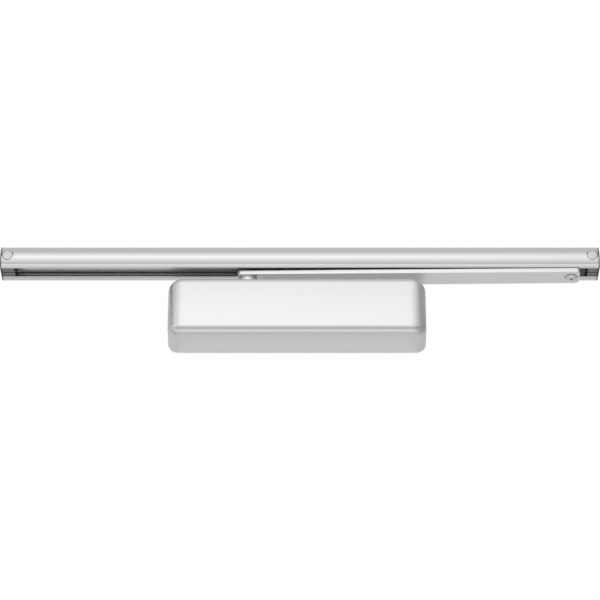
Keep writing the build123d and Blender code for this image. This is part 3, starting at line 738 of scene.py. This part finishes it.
carved(arm, joined=[hub], cut=sockets)

# silver-sprayed steel: whiter and a little softer than the cover, over a faint rolled grain
arm_spray, tree, surface = new_material("silver_sprayed_steel")
place = add_node(tree, "ShaderNodeTexCoord").outputs["Object"]
mottle(tree, surface, place, flake_size, 0.5, "e2e2e2", "ececec", (0.28, 0.34), 1.0)
surface.inputs["Metallic"].default_value = 0.7
rolled_settings = {"Scale": 1 / (4 * MM), "Detail": 2.0}
rolled = add_node(tree, "ShaderNodeTexNoise", rolled_settings, {"Vector": place})
emboss(tree, surface, rolled.outputs["Fac"], 0.01 * MM)
settle(arm, "arm", "arm_silver_paint", arm_spray, "main_arm")

# ---------------------------------------------------------------------------------------
# Pivot screw. A zinc-plated steel shoulder screw that comes up through the arm's bush
# into the shoe. Its low head is domed and has a hexagon socket.
screw_low, screw_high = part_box("pivot_screw")
head_radius = 7.8 * MM
head_height = 2.4 * MM
shoulder_radius = 6.0 * MM
thread_radius = 3.98 * MM
shoulder_top = track_bottom + 0.5 * MM
thread_pitch = 1.25 * MM
thread_depth = 0.55 * MM
head = [
    (head_radius * (1 - sin(a)), screw_low.z + head_height * 0.8 * (1 - cos(a)))
    for a in np.linspace(0.02, pi / 2, 12)
]
crests = np.arange(shoulder_top + thread_pitch, screw_high.z - thread_pitch, thread_pitch / 2)
stem = [
    (0.0, screw_low.z + head_height),
    (head_radius - shoulder_radius, screw_low.z + head_height),
    (head_radius - shoulder_radius, shoulder_top),
    (head_radius - thread_radius, shoulder_top),
]
stem += [
    (head_radius - thread_radius + thread_depth * (step % 2), z) for step, z in enumerate(crests)
]
stem.append((head_radius - thread_radius + 0.8 * MM, screw_high.z))
screw = carried("shoulder_screw", circle(head_radius, (pin_x, pin_y), 64), head + stem, upright)
socket_radius = 2.0 * MM
corners = [(cos(k * pi / 3), sin(k * pi / 3)) for k in range(6)]
hexagon = rounded(socket_radius * np.array(corners), 0.1 * MM, 3)
socket = carried(
    "socket",
    hexagon + (pin_x, pin_y),
    [(0, screw_low.z - 1 * MM), (0, screw_low.z + 1.9 * MM)],
    upright,
)
carved(screw, cut=[socket])

# bright zinc plating: clear silver metal with a slightly cloudy surface
zinc, tree, surface = new_material("bright_zinc_plated_steel")
place = add_node(tree, "ShaderNodeTexCoord").outputs["Object"]
cloud = mottle(tree, surface, place, 3 * MM, 0.5, "cccdce", "dcdddd", (0.24, 0.34))
surface.inputs["Metallic"].default_value = 1.0
emboss(tree, surface, cloud.outputs["Fac"], 0.01 * MM)
settle(screw, "slider", "zinc_plated_steel", zinc, "pivot_screw")


def dress(material, *names):
    """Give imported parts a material."""
    for name in names:
        slots = parts[name].data.materials
        slots.clear()
        slots.append(material)


dress(
    zinc,
    "pivot_nut",
    "arm_screw",
    "cover_clip_screws",
    "gallery_plugs",
    "pinion_gland_nut",
    "pinion_lower_cap",
    "spring_seat",
    "power_adjusting_screw",
)

# ---------------------------------------------------------------------------------------
# Shoe and end blocks. Moulded in glass-filled nylon, nearly black and slightly glossy,
# with a faint flow pattern. The rubber pads on the blocks are softer and duller.
nylon, tree, surface = new_material("glass_filled_black_nylon")
place = add_node(tree, "ShaderNodeTexCoord").outputs["Object"]
flow = mottle(tree, surface, place, 6 * MM, 0.4, "242526", "2f3032", (0.38, 0.5))
emboss(tree, surface, flow.outputs["Fac"], 0.02 * MM)
dress(nylon, "slider_shoe")

# mid-grey moulded acetal, lighter than the end plates
acetal, tree, surface = new_material("mid_grey_moulded_acetal")
place = add_node(tree, "ShaderNodeTexCoord").outputs["Object"]
mould = mottle(tree, surface, place, 5 * MM, 0.4, "747474", "7e7e7e", (0.4, 0.5))
emboss(tree, surface, mould.outputs["Fac"], 0.02 * MM)
dress(acetal, "end_block_left", "end_block_right")

rubber, tree, surface = new_material("black_bumper_rubber")
place = add_node(tree, "ShaderNodeTexCoord").outputs["Object"]
bloom = mottle(tree, surface, place, 1.5 * MM, 0.5, "151516", "1e1e20", (0.7, 0.85))
emboss(tree, surface, bloom.outputs["Fac"], 0.03 * MM)
dress(
    rubber,
    "bumper_pad_left",
    "bumper_pad_right",
    "pinion_seal",
    "end_plug_o_rings",
    "valve_o_rings",
)

# ---------------------------------------------------------------------------------------
# Closer body. Die-cast aluminium as it comes from the die: light grey, satin, with a
# fine skin. The end plugs are turned from bar, so they are brighter.
cast, tree, surface = new_material("die_cast_aluminium")
place = add_node(tree, "ShaderNodeTexCoord").outputs["Object"]
mottle(tree, surface, place, 9 * MM, 0.45, "a6a8ab", "b8babc", (0.4, 0.55), 5.0)
surface.inputs["Metallic"].default_value = 1.0
pore_settings = {"Scale": 1 / (0.9 * MM), "Detail": 2.0}
pores = add_node(tree, "ShaderNodeTexNoise", pore_settings, {"Vector": place})
emboss(tree, surface, pores.outputs["Fac"], 0.04 * MM)
dress(cast, "closer_body")

turned, tree, surface = new_material("turned_aluminium")
place = add_node(tree, "ShaderNodeTexCoord").outputs["Object"]
feed = mottle(tree, surface, place, 0.4 * MM, 0.6, "c2c4c7", "d2d4d6", (0.25, 0.38), 1.0)
surface.inputs["Metallic"].default_value = 1.0
emboss(tree, surface, feed.outputs["Fac"], 0.006 * MM)
dress(turned, "head_end_plug", "spring_end_plug")

# ---------------------------------------------------------------------------------------
# Works inside. Hardened and ground steel for the pinion and bearings, ground iron for the
# piston, oil-tempered wire for the springs, turned brass valves and a sintered bush.
finishes = {
    # material: dark, light, roughness, feature size in mm, bump in mm, parts
    "ground_hardened_steel": ("8f9194", "a3a5a8", (0.2, 0.32), 0.6, 0.004, ["pinion_shaft"]),
    "polished_bearing_steel": (
        "b4b6b8",
        "c6c8ca",
        (0.12, 0.2),
        2.0,
        0.002,
        [
            "pinion_bearing_upper",
            "pinion_bearing_lower",
            "bearing_needles_upper",
            "bearing_needles_lower",
            "check_valve_balls",
        ],
    ),
    "ground_cast_iron": ("6c6d70", "7d7e81", (0.28, 0.4), 0.8, 0.006, ["piston"]),
    "oil_tempered_spring_wire": (
        "4c4a48",
        "605e5c",
        (0.3, 0.45),
        1.2,
        0.01,
        ["outer_spring", "inner_spring", "cover_clips"],
    ),
    "turned_brass": (
        "c9a25a",
        "d8b570",
        (0.2, 0.32),
        0.4,
        0.006,
        [
            "sweep_valve_screw",
            "latch_valve_screw",
            "backcheck_valve_screw",
            "check_valve_retainers",
        ],
    ),
    "sintered_bronze": ("9a6f45", "ad8256", (0.4, 0.55), 0.3, 0.02, ["pivot_bush"]),
}
for name, (dark, light, rough, size, depth, names) in finishes.items():
    metal, tree, surface = new_material(name)
    place = add_node(tree, "ShaderNodeTexCoord").outputs["Object"]
    marks = mottle(tree, surface, place, size * MM, 0.5, dark, light, rough)
    surface.inputs["Metallic"].default_value = 1.0
    emboss(tree, surface, marks.outputs["Fac"], depth * MM)
    dress(metal, *names)
